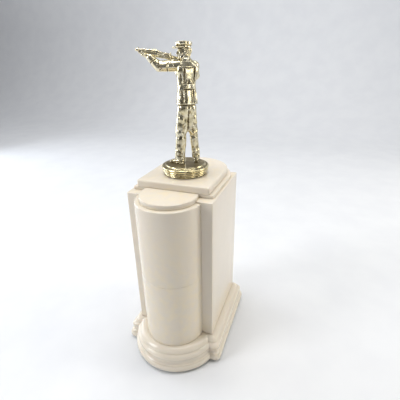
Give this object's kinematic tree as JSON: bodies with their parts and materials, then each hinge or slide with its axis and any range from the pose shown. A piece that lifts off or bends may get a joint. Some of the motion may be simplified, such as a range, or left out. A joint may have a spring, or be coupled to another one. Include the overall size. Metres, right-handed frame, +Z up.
{
  "type": "marksman trophy",
  "caption": "Free-standing trophy: cream plastic column with a half-round front and stepped plinth, topped by a gold-plated cast figure of a standing rifle shooter on a round ringed base.",
  "frame": {"origin": "middle of the footprint, on the surface that the trophy stands on", "axes": "+X to the right seen from the half-round front, +Y to the back, +Z up"},
  "size_m": [0.102, 0.1498, 0.2898],
  "materials": {
    "cream_plastic": "polished ivory-coloured moulded plastic, faintly mottled, warmed by age along its edges",
    "gold_plate": "thin pale gold plating on white-metal castings, bright on the high spots, worn and browned in the folds",
    "zinc_steel": "dull zinc-plated steel",
    "bush_brass": "turned brass, plain",
    "green_felt": "thin pressed wool felt",
    "fibreboard": "brown hard fibreboard"
  },
  "bodies": {
    "column": {"felt_pad": "green_felt", "bottom_board": "fibreboard", "board_screws": "zinc_steel", "plinth": "cream_plastic", "clamp_plate": "zinc_steel", "flat_washer": "zinc_steel", "lock_washer": "zinc_steel", "rod_nut": "zinc_steel", "tie_rod": "zinc_steel", "body_shell": "cream_plastic", "front_column_lower": "cream_plastic", "front_column_upper": "cream_plastic", "step_tier": "cream_plastic", "top_cap": "cream_plastic"},
    "figure": {"figure_base": "gold_plate", "threaded_bush": "bush_brass", "figure_body": "gold_plate", "figure_head": "gold_plate", "figure_left_arm": "gold_plate", "figure_right_arm": "gold_plate", "rifle": "gold_plate"}
  },
  "joints": [
    {"name": "figure_turn", "type": "hinge", "parent": "column", "child": "figure", "pos_m": [0, 0.00435, 0.17915], "axis": [0, 0, 1], "continuous": true}
  ]
}
